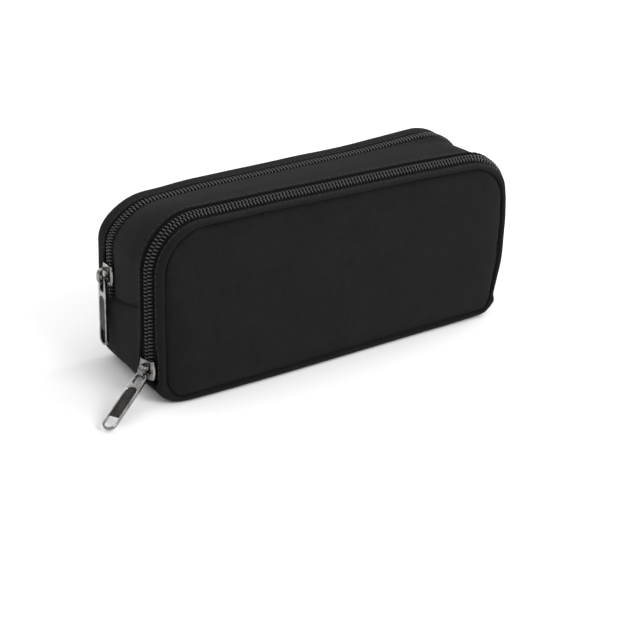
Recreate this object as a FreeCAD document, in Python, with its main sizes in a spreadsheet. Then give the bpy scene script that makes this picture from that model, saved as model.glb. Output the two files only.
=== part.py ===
import FreeCAD, Part
import os
import math
import Sketcher

# A soft pencil case with two zipped compartments, in millimetres.
#
# Frame: the origin is the middle of the flat base, +X runs along the case, +Z is up, and the
# front pocket's panel faces -Y. Both zippers run up the left end, over the top and down the
# right end, and both sliders are parked at the left end (-X).
#
# The wall is three layers deep: outer fabric, foam and lining. A strip of the wall that follows
# the outline is a profile swept along the rim, so its place is given by a depth (distance in
# from the outline) and by y.

SIZES = [
    # outline
    ("case_length", 205.0),
    ("case_depth", 57.0),
    ("case_height", 88.0),
    ("top_corner", 26.0),
    ("bottom_corner", 9.8),
    # layers of the wall
    ("fabric", 0.8),
    ("foam", 1.8),
    ("lining", 0.6),
    ("working_gap", 0.3),
    # seams: how far in from the outline each panel is sewn
    ("front_seam", 5.0),
    ("rear_seam", 2.6),
    ("band_edge", 2.6),
    ("band_round", 2.2),
    # front zipper
    ("front_chain_y", -20.7),
    ("front_chain_depth", 1.4),
    ("front_chain_tilt", 20.0),
    ("front_chain_low", 10.2),
    ("front_split", 27.0),
    # rear zipper
    ("rear_chain_y", 16.0),
    ("rear_chain_depth", 1.0),
    ("rear_chain_low", 37.0),
    ("rear_split", 55.0),
    # zipper section, measured from the middle of the chain
    ("chain_slot", 0.8),
    ("coil_edge", 3.3),
    ("coil_top", 1.0),
    ("tape_top", 0.2),
    ("tape_under", 0.8),
    ("tape_edge", 5.3),
    ("hidden_tape", 7.0),
    ("fabric_edge", 5.2),
    ("layer_edge", 7.2),
    # inside
    ("divider_front", -13.9),
    ("divider_thickness", 1.5),
    # slider
    ("slider_length", 10.0),
    ("slider_width", 9.6),
    ("slider_waist", 7.2),
    ("blade_under", 1.3),
    ("blade_thickness", 1.1),
    ("inner_blade_top", 1.1),
    ("inner_blade_thickness", 1.0),
    ("flange_width", 1.1),
    ("flange_drop", 1.2),
    ("shoulder_low", 3.5),
    ("shoulder_high", 1.5),
    ("post_width", 1.0),
    ("post_low", 4.5),
    ("post_high", 1.5),
    ("front_slider_height", 15.5),
    ("rear_slider_height", 49.0),
    # bridge over the slider, which holds the pull
    ("bridge_width", 2.2),
    ("bridge_bar", 1.2),
    ("bridge_rise", 4.6),
    ("bridge_low", 4.6),
    ("bridge_high", 3.6),
    # pull
    ("pivot_out", 4.3),
    ("pivot_drop", 1.4),
    ("pull_length", 34.8),
    ("pull_width", 7.0),
    ("pull_neck", 6.6),
    ("pull_thickness", 1.8),
    ("pull_loop_width", 4.4),
    ("pull_loop_end", 7.0),
    ("pull_shoulder", 8.0),
    ("pull_rim", 0.9),
    ("pull_recess", 0.4),
    ("pull_recess_top", 9.2),
    ("pull_hole_run", 4.3),
    ("front_pull_heading", 31.0),
    ("front_pull_clearance", 0.35),
]


class Size:
    """A measure that keeps both its number and the spreadsheet formula that gives it."""

    def __init__(self, value, formula):
        self.value = float(value)
        self.formula = formula

    def __add__(self, other):
        other = as_size(other)
        return Size(self.value + other.value, "(%s + %s)" % (self.formula, other.formula))

    def __sub__(self, other):
        other = as_size(other)
        return Size(self.value - other.value, "(%s - %s)" % (self.formula, other.formula))

    def __mul__(self, factor):
        return Size(self.value * factor, "(%s * %s)" % (self.formula, factor))

    def __truediv__(self, factor):
        return Size(self.value / factor, "(%s / %s)" % (self.formula, factor))

    def __neg__(self):
        return Size(-self.value, "(0 - %s)" % self.formula)


def as_size(number):
    if isinstance(number, Size):
        return number
    return Size(number, "%.4f" % number)


class SizeTable:
    """The spreadsheet's cells, each reachable by its alias."""

    def __init__(self, document):
        sheet = document.addObject("Spreadsheet::Sheet", "Sizes")
        for row, (alias, value) in enumerate(SIZES, start=1):
            sheet.set("A%d" % row, alias)
            sheet.set("B%d" % row, str(value))
            sheet.setAlias("B%d" % row, alias)
            setattr(self, alias, Size(value, "Sizes." + alias))


doc = FreeCAD.newDocument("pencil_case")
size = SizeTable(doc)
doc.recompute()

half_length = size.case_length / 2
front_face = -size.case_depth / 2
back_face = size.case_depth / 2
wall = size.fabric + size.foam + size.lining


# ---------------------------------------------------------------- sketches and features

def new_body(label):
    body = doc.addObject("PartDesign::Body", label)
    body.Label = label
    return body


def new_sketch(body, name, role, offset=(0, 0, 0), turn=0):
    """A sketch on one of the body's own origin planes, moved by offset and turned in its plane."""
    plane = [item for item in body.Origin.OriginFeatures if item.Role == role][0]
    sketch = body.newObject("Sketcher::SketchObject", body.Label + "_" + name)
    sketch.AttachmentSupport = (plane, [""])
    sketch.MapMode = "FlatFace"
    for axis, distance in zip("xyz", offset):
        sketch.setExpression("AttachmentOffset.Base." + axis, as_size(distance).formula)
    sketch.setExpression("AttachmentOffset.Rotation.Angle", as_size(turn).formula + " * 1 deg")
    return sketch


def bind(sketch, kind, place, measure):
    """Add one dimension to a sketch and tie it to the spreadsheet."""
    index = sketch.addConstraint(Sketcher.Constraint(kind, *place, measure.value))
    sketch.setExpression("Constraints[%d]" % index, measure.formula)


def bind_point(sketch, geometry, end, across, up):
    if across is not None:
        bind(sketch, "DistanceX", (-1, 1, geometry, end), across)
    if up is not None:
        bind(sketch, "DistanceY", (-1, 1, geometry, end), up)


def draw_polygon(sketch, corners):
    corners = [(as_size(across), as_size(up)) for across, up in corners]
    points = [FreeCAD.Vector(across.value, up.value, 0) for across, up in corners]
    following = points[1:] + points[:1]
    first = sketch.GeometryCount
    for start, end in zip(points, following):
        sketch.addGeometry(Part.LineSegment(start, end), False)
    for index, (across, up) in enumerate(corners):
        after = (index + 1) % len(corners)
        sketch.addConstraint(Sketcher.Constraint("Coincident", first + index, 2, first + after, 1))
        bind_point(sketch, first + index, 1, across, up)


def draw_circle(sketch, across, up, radius):
    middle = FreeCAD.Vector(as_size(across).value, as_size(up).value, 0)
    index = sketch.addGeometry(Part.Circle(middle, FreeCAD.Vector(0, 0, 1), radius.value), False)
    bind_point(sketch, index, 3, as_size(across), as_size(up))
    bind(sketch, "Radius", (index,), radius)


def join(sketch, kind, before, leave, after, enter):
    sketch.addConstraint(Sketcher.Constraint(kind, before, leave, after, enter))


def corner_arc(across, up, radius, start_degrees):
    circle = Part.Circle(FreeCAD.Vector(across, up, 0), FreeCAD.Vector(0, 0, 1), radius)
    start = math.radians(start_degrees)
    return Part.ArcOfCircle(circle, start, start + math.pi / 2)


def draw_rim(sketch, over, end_height):
    """The outline as a path: from the left end over the top, or under the base, to the right."""
    level = size.case_height if over else as_size(0)
    radius = size.top_corner if over else size.bottom_corner
    turn = level.value - radius.value if over else radius.value
    far = half_length.value
    near = far - radius.value
    first_quarter, second_quarter = (90, 0) if over else (180, 270)
    enter, leave = (2, 1) if over else (1, 2)
    vector = FreeCAD.Vector
    run = [
        Part.LineSegment(vector(-far, end_height.value, 0), vector(-far, turn, 0)),
        corner_arc(-near, turn, radius.value, first_quarter),
        Part.LineSegment(vector(-near, level.value, 0), vector(near, level.value, 0)),
        corner_arc(near, turn, radius.value, second_quarter),
        Part.LineSegment(vector(far, turn, 0), vector(far, end_height.value, 0)),
    ]
    for geometry in run:
        sketch.addGeometry(geometry, False)
    join(sketch, "Tangent", 0, 2, 1, enter)
    join(sketch, "Tangent", 1, leave, 2, 1)
    join(sketch, "Tangent", 2, 2, 3, enter)
    join(sketch, "Tangent", 3, leave, 4, 1)
    sketch.addConstraint(Sketcher.Constraint("Vertical", 0))
    sketch.addConstraint(Sketcher.Constraint("Horizontal", 2))
    sketch.addConstraint(Sketcher.Constraint("Vertical", 4))
    sketch.addConstraint(Sketcher.Constraint("Equal", 1, 3))
    bind_point(sketch, 0, 1, -half_length, end_height)
    bind_point(sketch, 4, 2, half_length, end_height)
    bind_point(sketch, 2, 1, None, level)
    bind(sketch, "Radius", (1,), radius)


def draw_panel(sketch, inset, low, high, low_radius, high_radius):
    """A panel's outline, anticlockwise. A radius of None leaves its two corners square."""
    right = half_length - inset
    corners = [
        (right, low, low_radius),
        (right, high, high_radius),
        (-right, high, high_radius),
        (-right, low, low_radius),
    ]
    steps = [(0, 1), (-1, 0), (0, -1), (1, 0)]
    lines = []
    arcs = []
    for index, (across, up) in enumerate(steps):
        start_x, start_y, start_radius = corners[index]
        end_x, end_y, end_radius = corners[(index + 1) % 4]
        before = start_radius.value if start_radius else 0.0
        after = end_radius.value if end_radius else 0.0
        start = FreeCAD.Vector(start_x.value + across * before, start_y.value + up * before, 0)
        end = FreeCAD.Vector(end_x.value - across * after, end_y.value - up * after, 0)
        lines.append(sketch.addGeometry(Part.LineSegment(start, end), False))
        sketch.addConstraint(Sketcher.Constraint("Vertical" if up else "Horizontal", lines[-1]))
        bind_point(sketch, lines[-1], 1, start_x if up else None, None if up else start_y)
        arc = None
        if end_radius:
            middle_x = end.x - up * after
            middle_y = end.y + across * after
            arc = sketch.addGeometry(corner_arc(middle_x, middle_y, after, 90 * index), False)
            bind(sketch, "Radius", (arc,), end_radius)
        arcs.append(arc)
    for index in range(4):
        following = lines[(index + 1) % 4]
        if arcs[index] is None:
            join(sketch, "Coincident", lines[index], 2, following, 1)
        else:
            join(sketch, "Tangent", lines[index], 2, arcs[index], 1)
            join(sketch, "Tangent", arcs[index], 2, following, 1)


def sweep(body, name, corners, over, end_height, turn=0, middle=(0, 0)):
    """Sweep a profile along the rim. A corner is (depth, y), counted from middle and turned."""
    path = new_sketch(body, name + "_path", "XZ_Plane")
    draw_rim(path, over, end_height)
    depth, across = as_size(middle[0]), as_size(middle[1])
    place = (depth - half_length, across, end_height)
    profile = new_sketch(body, name + "_profile", "XY_Plane", place, turn)
    draw_polygon(profile, corners)
    pipe = body.newObject("PartDesign::AdditivePipe", body.Label + "_" + name)
    pipe.Profile = profile
    pipe.Spine = path
    body.Tip = pipe


def pad(body, sketch, name, thickness, backwards=False):
    feature = body.newObject("PartDesign::Pad", body.Label + "_" + name)
    feature.Profile = sketch
    feature.Reversed = backwards
    feature.setExpression("Length", thickness.formula)
    body.Tip = feature


def pocket(body, sketch, name, depth, forwards=False):
    feature = body.newObject("PartDesign::Pocket", body.Label + "_" + name)
    feature.Profile = sketch
    feature.Reversed = forwards
    feature.setExpression("Length", depth.formula)
    body.Tip = feature


def rectangle(low_depth, high_depth, low_y, high_y):
    return [(low_depth, low_y), (high_depth, low_y), (high_depth, high_y), (low_depth, high_y)]


def panel(label, front, thickness, inset, low, high, round_low=True, round_high=True):
    """A flat layer that stands upright, its front at y = front."""
    body = new_body(label)
    sketch = new_sketch(body, "outline", "XZ_Plane", (0, 0, -front))
    low_radius = size.bottom_corner - inset if round_low else None
    high_radius = size.top_corner - inset if round_high else None
    draw_panel(sketch, inset, low, high, low_radius, high_radius)
    pad(body, sketch, "layer", thickness, backwards=True)
    return body


# ---------------------------------------------------------------- walls of the case

def mid_gusset_layers():
    """The wide strip between the two zippers, over the top and down to the cross seams."""
    front_edge = size.front_chain_y + size.fabric_edge + size.working_gap
    rear_edge = size.rear_chain_y - size.fabric_edge
    layer_front = size.divider_front
    layer_rear = size.rear_chain_y - size.layer_edge
    layers = [
        ("mid_gusset", as_size(0), size.fabric, front_edge, rear_edge),
        ("mid_gusset_foam", size.fabric, size.fabric + size.foam, layer_front, layer_rear),
        ("mid_gusset_lining", size.fabric + size.foam, wall, layer_front, layer_rear),
    ]
    for label, outside, inside, start, end in layers:
        body = new_body(label)
        sweep(body, "strip", rectangle(outside, inside, start, end), True, size.rear_chain_low)
    return front_edge


def base_gusset_layers(pocket_edge):
    """The strip under the case, up to the cross seams, and lower in front of the divider."""
    outer_back = back_face - size.fabric
    foam_back = outer_back - size.foam
    low_front = front_face + size.band_round
    body = new_body("base_gusset")
    main = rectangle(as_size(0), size.fabric, pocket_edge, outer_back)
    sweep(body, "main", main, False, size.rear_chain_low)
    toe = rectangle(as_size(0), size.fabric, low_front, pocket_edge)
    sweep(body, "toe", toe, False, size.front_chain_low)
    layers = [
        ("base_gusset_foam", size.fabric, size.fabric + size.foam),
        ("base_gusset_lining", size.fabric + size.foam, wall),
    ]
    for label, outside, inside in layers:
        body = new_body(label)
        strip = rectangle(outside, inside, size.divider_front, foam_back)
        sweep(body, "strip", strip, False, size.rear_chain_low)


def divider():
    """The wall between the front pocket and the main compartment."""
    low = wall
    high = size.case_height - wall
    panel("divider", size.divider_front, size.divider_thickness, wall, low, high)


def front_panel_layers():
    """The front pocket's panel, which folds forward about its bottom seam."""
    inset = size.front_seam + size.working_gap
    high = size.case_height - inset
    panel("front_panel", front_face, size.fabric, inset, inset, high)
    inner = inset + size.fabric
    high = size.case_height - inner
    foam_front = front_face + size.fabric
    panel("front_panel_foam", foam_front, size.foam, inner, inner, high)
    panel("front_pocket_lining", foam_front + size.foam, size.lining, inner, inner, high)


def back_panel_layers():
    """The back panel. It folds backward along a line level with the rear zipper's ends."""
    fold_low = size.rear_chain_low - size.working_gap / 2
    fold_high = size.rear_chain_low + size.working_gap / 2
    fabric_front = back_face - size.fabric
    foam_front = fabric_front - size.foam
    lining_front = foam_front - size.lining
    flat = as_size(0)
    panel("back_panel_lower", fabric_front, size.fabric, flat, flat, fold_low, round_high=False)
    layers = [
        ("foam", foam_front, size.foam, size.fabric),
        ("lining", lining_front, size.lining, wall),
    ]
    for name, front, thickness, inset in layers:
        label = "back_panel_lower_" + name
        panel(label, front, thickness, inset, inset, fold_low, round_high=False)
    seam = size.rear_seam + size.working_gap
    high = size.case_height - seam
    panel("back_panel_upper", fabric_front, size.fabric, seam, fold_high, high, round_low=False)
    inner = wall + size.working_gap
    high = size.case_height - inner
    for name, front, thickness, _ in layers:
        label = "back_panel_upper_" + name
        panel(label, front, thickness, inner, fold_high, high, round_low=False)


def straight_strip(label, side, corners, low, high, turn=0, middle=(0, 0)):
    """The same profile as a swept strip, but only up one end wall between two heights."""
    body = new_body(label)
    depth, across = as_size(middle[0]), as_size(middle[1])
    inward = -side
    place = ((half_length - depth) * side, across, low)
    profile = new_sketch(body, "profile", "XY_Plane", place, as_size(turn) * inward)
    draw_polygon(profile, [(as_size(x) * inward, y) for x, y in corners])
    pad(body, profile, "strip", high - low)


def front_band_corners():
    """The padded band that turns the edge from the front panel to the front zipper."""
    outer_y = front_face + size.band_round
    outer_depth = size.band_edge
    return [
        (outer_depth, outer_y),
        (size.front_seam, front_face),
        (size.front_seam, front_face + size.fabric + size.working_gap),
        (outer_depth + size.fabric, outer_y + size.fabric / 2),
    ]


def rear_band_corners():
    """The narrow band behind the rear zipper, which turns the edge to the back panel."""
    start = size.rear_chain_y + size.fabric_edge
    turn_y = back_face - size.band_round
    inner_back = back_face - size.fabric
    return [
        (as_size(0), start),
        (as_size(0), turn_y),
        (size.rear_seam, back_face),
        (size.rear_seam, inner_back),
        (size.fabric, turn_y - size.working_gap),
        (size.fabric, start),
    ]


def bands():
    gap = size.working_gap
    body = new_body("front_band")
    sweep(body, "strip", front_band_corners(), True, size.front_split)
    body = new_body("front_band_lower")
    sweep(body, "strip", front_band_corners(), False, size.front_split - gap)
    body = new_body("rear_band")
    sweep(body, "strip", rear_band_corners(), True, size.rear_split)
    for side, name in ((-1, "left"), (1, "right")):
        label = "rear_band_%s_end" % name
        high = size.rear_split - gap
        straight_strip(label, side, rear_band_corners(), size.rear_chain_low, high)


# ---------------------------------------------------------------- zippers

def tape_corners(side, reach):
    return rectangle(size.tape_top, size.tape_under, size.chain_slot * side, reach * side)


def coil_corners(side):
    return rectangle(-size.coil_top, size.tape_top, size.chain_slot * side, size.coil_edge * side)


def zipper(name, chain, low, split, flap_side, case_reach, flap_reach):
    """Two tapes with a coil sewn on each.

    The half beside the mid gusset stays on the case over its whole length. The other half goes
    with the flap, apart from the short straight ends below the split, which never open.
    """
    middle, turn = chain
    case_side = -flap_side
    gap = size.working_gap
    halves = [
        ("case_tape", tape_corners(case_side, case_reach), low),
        ("case_coil", coil_corners(case_side), low),
        ("flap_tape", tape_corners(flap_side, flap_reach), split),
        ("flap_coil", coil_corners(flap_side), split),
    ]
    for part, corners, start in halves:
        body = new_body("%s_zipper_%s" % (name, part))
        sweep(body, "strip", corners, True, start, turn, middle)
        if start is low:
            continue
        for side, end in ((-1, "left"), (1, "right")):
            label = "%s_zipper_%s_%s_end" % (name, part, end)
            straight_strip(label, side, corners, low, split - gap, turn, middle)


def zippers():
    front_middle = (size.front_chain_depth, size.front_chain_y)
    front_chain = (front_middle, size.front_chain_tilt)
    edge = size.tape_edge
    zipper("front", front_chain, size.front_chain_low, size.front_split, -1, edge, edge)
    rear_chain = ((size.rear_chain_depth, size.rear_chain_y), as_size(0))
    edge = size.hidden_tape
    zipper("rear", rear_chain, size.rear_chain_low, size.rear_split, 1, edge, edge)


# ---------------------------------------------------------------- sliders and pulls
# A slider is drawn about the middle of its chain: -X is outward, and the pull hangs at -Z.

def blade_corners():
    """A slider's blade: full width at the shoulders, narrower at its tail end."""
    half_width = size.slider_width / 2
    half_waist = size.slider_waist / 2
    nose = size.slider_length / 2
    return [
        (-half_waist, -nose),
        (half_waist, -nose),
        (half_width, -size.shoulder_low),
        (half_width, size.shoulder_high),
        (half_waist, nose),
        (-half_waist, nose),
        (-half_width, size.shoulder_high),
        (-half_width, -size.shoulder_low),
    ]


def slider_body(label):
    """Two blades joined by a post, with a flange down each side of the outer blade."""
    body = new_body(label)
    outer_face = -(size.blade_under + size.blade_thickness)
    outer = new_sketch(body, "outer_blade_outline", "YZ_Plane", (0, 0, outer_face))
    draw_polygon(outer, blade_corners())
    pad(body, outer, "outer_blade", size.blade_thickness)
    post_half = size.post_width / 2
    post = new_sketch(body, "post_outline", "YZ_Plane", (0, 0, -size.blade_under))
    draw_polygon(post, rectangle(-post_half, post_half, -size.post_low, -size.post_high))
    pad(body, post, "post", size.blade_under + size.inner_blade_top)
    inner = new_sketch(body, "inner_blade_outline", "YZ_Plane", (0, 0, size.inner_blade_top))
    draw_polygon(inner, blade_corners())
    pad(body, inner, "inner_blade", size.inner_blade_thickness)
    half_width = size.slider_width / 2
    for side in (-1, 1):
        name = "flange_left" if side < 0 else "flange_right"
        flange = new_sketch(body, name + "_outline", "YZ_Plane", (0, 0, -size.blade_under))
        inner_edge = (half_width - size.flange_width) * side
        draw_polygon(flange, rectangle(inner_edge, half_width * side,
                                       -size.shoulder_low, size.shoulder_high))
        pad(body, flange, name, size.flange_drop)
    return body


def slider_bridge(label):
    """The stamped bridge over the slider, which the pull's bar runs under."""
    body = new_body(label)
    foot = -(size.blade_under + size.blade_thickness)
    top = foot - size.bridge_rise
    bar = size.bridge_bar
    low, high = -size.bridge_low, size.bridge_high
    arch = new_sketch(body, "arch_outline", "XZ_Plane", (0, 0, size.bridge_width / 2))
    draw_polygon(arch, [
        (foot, low),
        (top + bar, low),
        (top, low + bar),
        (top, high - bar),
        (top + bar, high),
        (foot, high),
        (foot, high - bar),
        (top + bar, high - bar),
        (top + bar, low + bar),
        (foot, low + bar),
    ])
    pad(body, arch, "arch", size.bridge_width, backwards=True)
    return body


def slider_pull(label):
    """The pull, drawn hanging down from the axis of its bar."""
    body = new_body(label)
    half_thick = size.pull_thickness / 2
    half_neck = size.pull_neck / 2
    half_width = size.pull_width / 2
    end_middle = half_width - size.pull_length
    shoulder = -size.pull_shoulder
    plate = new_sketch(body, "plate_outline", "YZ_Plane", (0, 0, -half_thick))
    draw_polygon(plate, [
        (-half_neck, as_size(0)),
        (-half_width, shoulder),
        (-half_width, end_middle),
        (half_width, end_middle),
        (half_width, shoulder),
        (half_neck, as_size(0)),
    ])
    pad(body, plate, "plate", size.pull_thickness)
    end = new_sketch(body, "end_outline", "YZ_Plane", (0, 0, -half_thick))
    draw_circle(end, 0, end_middle, half_width)
    pad(body, end, "end", size.pull_thickness)
    half_loop = size.pull_loop_width / 2
    loop = new_sketch(body, "loop_outline", "YZ_Plane", (0, 0, half_thick))
    draw_polygon(loop, rectangle(-half_loop, half_loop, -size.pull_loop_end, half_thick))
    pocket(body, loop, "loop", size.pull_thickness)
    bar = new_sketch(body, "bar_outline", "XZ_Plane", (0, 0, half_neck))
    draw_circle(bar, 0, 0, half_thick)
    pad(body, bar, "bar", size.pull_neck, backwards=True)
    half_hole = half_width - size.pull_rim
    hole_top = end_middle + size.pull_hole_run
    hole = new_sketch(body, "hole_outline", "YZ_Plane", (0, 0, half_thick))
    draw_polygon(hole, rectangle(-half_hole, half_hole, end_middle, hole_top))
    pocket(body, hole, "hole", size.pull_thickness)
    hole_end = new_sketch(body, "hole_end_outline", "YZ_Plane", (0, 0, half_thick))
    draw_circle(hole_end, 0, end_middle, half_hole)
    pocket(body, hole_end, "hole_end", size.pull_thickness)
    recess = new_sketch(body, "recess_outline", "YZ_Plane", (0, 0, -half_thick))
    draw_polygon(recess, rectangle(-half_hole, half_hole, hole_top, -size.pull_recess_top))
    pocket(body, recess, "recess", size.pull_recess, forwards=True)
    return body


def place(body, position, rotation):
    body.Placement = FreeCAD.Placement(position, rotation)


def slider_set(name, chain_depth, chain_y, height, tilt, heading, droop):
    """One slider with its bridge and pull, set on the chain at the left end.

    Tilt turns the slider about the vertical with the chain. Heading is the same for the pull,
    which has some play on its bridge, and droop lifts the pull from hanging straight down.
    """
    up = FreeCAD.Vector(0, 0, 1)
    across = FreeCAD.Vector(0, 1, 0)
    slider_turn = FreeCAD.Rotation(up, tilt)
    middle = FreeCAD.Vector(chain_depth.value - half_length.value, chain_y.value, height.value)
    place(slider_body(name + "_slider_body"), middle, slider_turn)
    place(slider_bridge(name + "_slider_bridge"), middle, slider_turn)
    to_pivot = FreeCAD.Vector(-size.pivot_out.value, 0, -size.pivot_drop.value)
    pivot = middle + slider_turn.multVec(to_pivot)
    pull_turn = FreeCAD.Rotation(up, heading).multiply(FreeCAD.Rotation(across, droop))
    place(slider_pull(name + "_pull"), pivot, pull_turn)
    return pivot


def resting_angle(pivot_height):
    """How far the front pull is lifted from hanging, when its tip lies on the table."""
    length = size.pull_length.value
    half_thick = size.pull_thickness.value / 2
    lift = size.front_pull_clearance.value
    slope = math.asin((pivot_height - lift - half_thick) / length)
    return 90.0 - math.degrees(slope)


def sliders():
    pivot_height = size.front_slider_height.value - size.pivot_drop.value
    droop = resting_angle(pivot_height)
    tilt = size.front_chain_tilt.value
    heading = size.front_pull_heading.value
    front = slider_set("front", size.front_chain_depth, size.front_chain_y,
                       size.front_slider_height, tilt, heading, droop)
    rear = slider_set("rear", size.rear_chain_depth, size.rear_chain_y,
                      size.rear_slider_height, 0.0, 0.0, 0.0)
    print("front pull: pivot", front, "lifted from hanging by", round(droop, 2), "degrees")
    print("rear pull: pivot", rear)


# ---------------------------------------------------------------- build, check and write

def check_objects():
    for item in doc.Objects:
        for state in ("Invalid", "Error"):
            if state in item.State:
                raise RuntimeError("%s did not build: %s" % (item.Name, item.State))


def write_parts():
    os.makedirs("parts", exist_ok=True)
    bodies = [item for item in doc.Objects if item.TypeId == "PartDesign::Body"]
    for body in bodies:
        shape = body.Shape
        if shape.isNull() or not shape.isValid() or shape.Volume <= 0:
            raise RuntimeError("%s has no valid shape" % body.Label)
        shape.exportStep("parts/%s.step" % body.Label)
        box = shape.BoundBox
        corners = (box.XMin, box.YMin, box.ZMin, box.XMax, box.YMax, box.ZMax)
        print("%-34s %9.1f mm3  %s" % (body.Label, shape.Volume, [round(c, 1) for c in corners]))
    print(len(bodies), "parts")


pocket_edge = mid_gusset_layers()
base_gusset_layers(pocket_edge)
divider()
front_panel_layers()
back_panel_layers()
bands()
zippers()
sliders()
doc.recompute()
check_objects()
write_parts()
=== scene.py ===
import math

import bmesh
import bpy
import numpy as np
from mathutils import Matrix, Vector, noise


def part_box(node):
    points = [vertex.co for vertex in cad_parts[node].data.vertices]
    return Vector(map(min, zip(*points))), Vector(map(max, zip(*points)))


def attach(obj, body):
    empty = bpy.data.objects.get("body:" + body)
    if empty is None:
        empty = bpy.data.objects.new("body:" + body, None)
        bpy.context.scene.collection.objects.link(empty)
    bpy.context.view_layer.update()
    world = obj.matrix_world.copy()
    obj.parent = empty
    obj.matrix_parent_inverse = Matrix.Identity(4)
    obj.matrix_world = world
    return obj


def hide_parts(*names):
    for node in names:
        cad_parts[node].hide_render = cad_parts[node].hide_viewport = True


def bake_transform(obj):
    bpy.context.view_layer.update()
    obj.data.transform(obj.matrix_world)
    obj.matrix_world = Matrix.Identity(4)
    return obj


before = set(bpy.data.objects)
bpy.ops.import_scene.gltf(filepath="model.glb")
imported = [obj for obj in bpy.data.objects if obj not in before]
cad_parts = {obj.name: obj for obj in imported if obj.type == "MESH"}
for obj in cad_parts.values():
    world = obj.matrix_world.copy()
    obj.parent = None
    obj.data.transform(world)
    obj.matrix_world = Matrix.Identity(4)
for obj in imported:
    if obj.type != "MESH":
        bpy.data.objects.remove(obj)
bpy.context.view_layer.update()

# The looks of a soft pencil case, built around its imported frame. Everything below is worked out
# in millimetres in the frame's own axes, and becomes metres when a mesh is made.
#
# The case's outline seen from the front is one closed loop. A place on the fabric is given by
# how far along that loop it is, how deep it lies inside the outline, and by y.

MM = 0.001


def box_mm(node):
    low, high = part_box(node)
    return [c / MM for c in low], [c / MM for c in high]


# ---------------------------------------------------------------- sizes from the frame

GUSSET_LOW, GUSSET_HIGH = box_mm("mid_gusset")
HALF_LENGTH = GUSSET_HIGH[0]
TOP = GUSSET_HIGH[2]
CROSS_SEAM = GUSSET_LOW[2]
FRONT = box_mm("front_panel")[0][1]
BACK = box_mm("back_panel_lower")[1][1]
DIVIDER_FRONT = box_mm("divider")[0][1]
FRONT_CHAIN_LOW = box_mm("front_zipper_case_tape")[0][2]
FRONT_SPLIT = box_mm("front_band")[0][2]
REAR_SPLIT = box_mm("rear_band")[0][2]

TOP_CORNER = 26.0
BOTTOM_CORNER = 12.0
BASE_SEAM = FRONT + 2.6

# The zippers' sections: where the middle of each chain lies, how it leans, and the height
# at which its slider is parked on the left end.
FRONT_CHAIN = {"depth": 1.4, "y": -20.7, "tilt": math.radians(20.0), "slider": 15.5}
REAR_CHAIN = {"depth": 1.0, "y": 16.0, "tilt": 0.0, "slider": 49.0}
COIL_PITCH = 1.84
TOOTH_SLANT = 0.14
TAPE_REACH = 5.4
STITCH_LENGTH = 2.3
STITCH_GAP = 0.9
THREAD_RADIUS = 0.2

# How deep inside the outline the inner cloths start, and how thick they are.
POCKET_LINING_DEPTH = 6.0
GUSSET_LINING_DEPTH = 2.7
BACK_LINING_DEPTH = 3.6
DIVIDER_DEPTH = 3.3
LINING_THICK = 0.5
DIVIDER_THICK = 1.3

# How finely the strips of fabric are cut along the loop, and the linings.
STRIP_STEP = 1.7
LINING_STEP = 4.0

# How far the ends of each cross seam lean along the loop before the skew fades out.
GUSSET_FADE = 16
BASE_FADE = 14


# ---------------------------------------------------------------- the outline and its loop

SIDE_RUN = TOP - TOP_CORNER - BOTTOM_CORNER
TOP_RUN = 2 * (HALF_LENGTH - TOP_CORNER)
BASE_RUN = 2 * (HALF_LENGTH - BOTTOM_CORNER)
TOP_ARC = TOP_CORNER * math.pi / 2
BASE_ARC = BOTTOM_CORNER * math.pi / 2
# LOOP is the whole way round, and OVER the part above the bottom corners.
LOOP = 2 * SIDE_RUN + TOP_RUN + BASE_RUN + 2 * TOP_ARC + 2 * BASE_ARC
OVER = 2 * SIDE_RUN + TOP_RUN + 2 * TOP_ARC


def straight(start, heading, out):
    """A straight run of the outline: gives the place after a run, and the outward direction."""
    return lambda run: ((start[0] + heading[0] * run, start[1] + heading[1] * run), out)


def corner(middle, radius, degrees):
    """A round corner of the outline, turning clockwise from this direction."""
    def after(run):
        angle = math.radians(degrees) - run / radius
        out = (math.cos(angle), math.sin(angle))
        return (middle[0] + radius * out[0], middle[1] + radius * out[1]), out
    return after


def outline_pieces():
    """The eight pieces of the outline with their lengths, clockwise from low on the left."""
    near_top = HALF_LENGTH - TOP_CORNER
    near_base = HALF_LENGTH - BOTTOM_CORNER
    high = TOP - TOP_CORNER
    low = BOTTOM_CORNER
    return [
        (SIDE_RUN, straight((-HALF_LENGTH, low), (0, 1), (-1, 0))),
        (TOP_ARC, corner((-near_top, high), TOP_CORNER, 180)),
        (TOP_RUN, straight((-near_top, TOP), (1, 0), (0, 1))),
        (TOP_ARC, corner((near_top, high), TOP_CORNER, 90)),
        (SIDE_RUN, straight((HALF_LENGTH, high), (0, -1), (1, 0))),
        (BASE_ARC, corner((near_base, low), BOTTOM_CORNER, 0)),
        (BASE_RUN, straight((near_base, 0), (-1, 0), (0, -1))),
        (BASE_ARC, corner((-near_base, low), BOTTOM_CORNER, -90)),
    ]


OUTLINE = outline_pieces()


def outline(along):
    """The place (x, z) and outward direction (x, z) on the outline. Zero is low on the left."""
    along = along % LOOP
    for length, place_after in OUTLINE:
        if along <= length:
            return place_after(along)
        along -= length
    return (-HALF_LENGTH, BOTTOM_CORNER), (-1, 0)


def left_at(height):
    """How far along the loop the left end reaches this height."""
    return height - BOTTOM_CORNER


def right_at(height):
    return OVER - left_at(height)


def smooth(value, low, high):
    """0 up to low and 1 from high on, with a smooth rise between; it falls when low is higher."""
    t = min(max((value - low) / (high - low), 0.0), 1.0)
    return t * t * (3 - 2 * t)


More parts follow.
